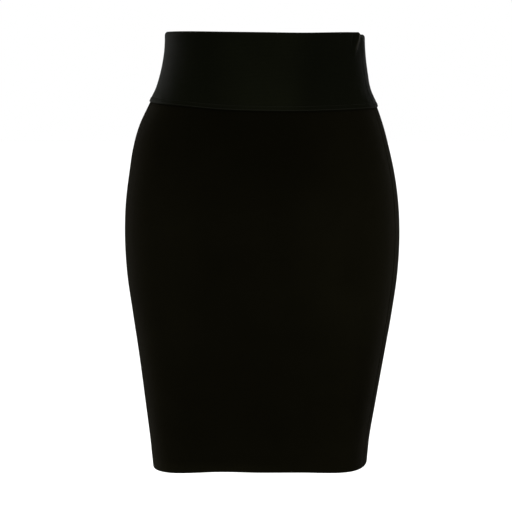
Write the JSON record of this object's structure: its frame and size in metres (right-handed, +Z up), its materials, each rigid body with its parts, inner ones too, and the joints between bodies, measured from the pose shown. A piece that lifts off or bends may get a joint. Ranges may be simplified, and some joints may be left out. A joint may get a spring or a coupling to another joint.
{
  "type": "pencil skirt",
  "caption": "Close-fitting high-waisted skirt to the knee, filled out and hollow, with a wide elastic waistband lapped over the jersey body and a plain turned-up hem.",
  "frame": {"origin": "centre of the waist, about 10 mm below the waistband's top edge, where the wearer holds the skirt up", "axes": "+Z up, the skirt's front faces -Y, the wearer's left side faces +X"},
  "size_m": [0.3512, 0.2421, 0.5561],
  "materials": {
    "jersey": "warm black double jersey, matt, with a faint soft sheen where it turns away",
    "elastic": "black wide elastic with fine lengthwise ribs and a slight sheen"
  },
  "bodies": {
    "root": {"skirt_front": "jersey", "skirt_back": "jersey", "waistband_front": "elastic", "waistband_back": "elastic"}
  },
  "joints": []
}
